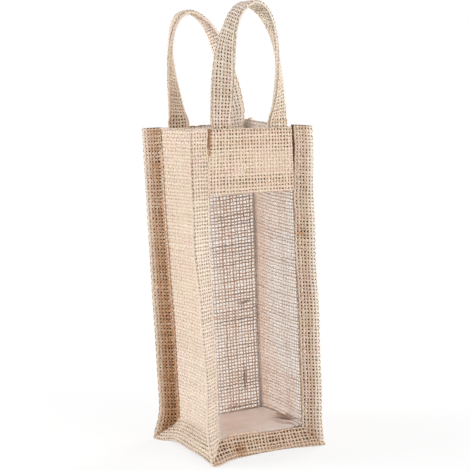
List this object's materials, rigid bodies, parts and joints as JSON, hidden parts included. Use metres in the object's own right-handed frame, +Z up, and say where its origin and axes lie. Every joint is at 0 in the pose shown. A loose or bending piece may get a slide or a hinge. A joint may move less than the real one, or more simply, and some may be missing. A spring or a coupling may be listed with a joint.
{
  "type": "bottle carrier bag",
  "caption": "Upright square bag of coarse jute for one bottle, with a clear front window, bound seams standing out as fins and a pair of strap handles.",
  "frame": {"origin": "on the floor, under the middle of the bag", "axes": "+Z up towards the handles, the clear window on the -Y side, +X to the right when facing the window"},
  "size_m": [0.1332, 0.1658, 0.4621],
  "materials": {
    "jute_cloth": "coarse plain weave, matt",
    "jute_binding": "coarse plain weave, folded, matt",
    "jute_strap": "coarse plain weave, folded double, matt",
    "clear_sheet": "clear, glossy",
    "lining_film": "milky film, soft gloss"
  },
  "bodies": {
    "bag": {"front_band": "jute_cloth", "back_panel": "jute_cloth", "left_side_panel": "jute_cloth", "right_side_panel": "jute_cloth", "base_panel": "jute_cloth", "window_sheet": "clear_sheet", "back_film": "lining_film", "left_film": "lining_film", "right_film": "lining_film", "base_film": "lining_film", "front_left_binding": "jute_binding", "front_right_binding": "jute_binding", "back_left_binding": "jute_binding", "back_right_binding": "jute_binding", "front_base_binding": "jute_binding", "back_base_binding": "jute_binding", "left_base_binding": "jute_binding", "right_base_binding": "jute_binding", "front_handle_ends": "jute_strap", "back_handle_ends": "jute_strap"},
    "front_handle": {"front_handle": "jute_strap"},
    "back_handle": {"back_handle": "jute_strap"}
  },
  "joints": [
    {"name": "front_handle_fold", "type": "hinge", "parent": "bag", "child": "front_handle", "pos_m": [0, -0.0489, 0.34209], "axis": [1, 0, 0], "range_deg": [-29, 136]},
    {"name": "back_handle_fold", "type": "hinge", "parent": "bag", "child": "back_handle", "pos_m": [0, 0.0489, 0.34209], "axis": [-1, 0, 0], "range_deg": [-29, 136]}
  ]
}
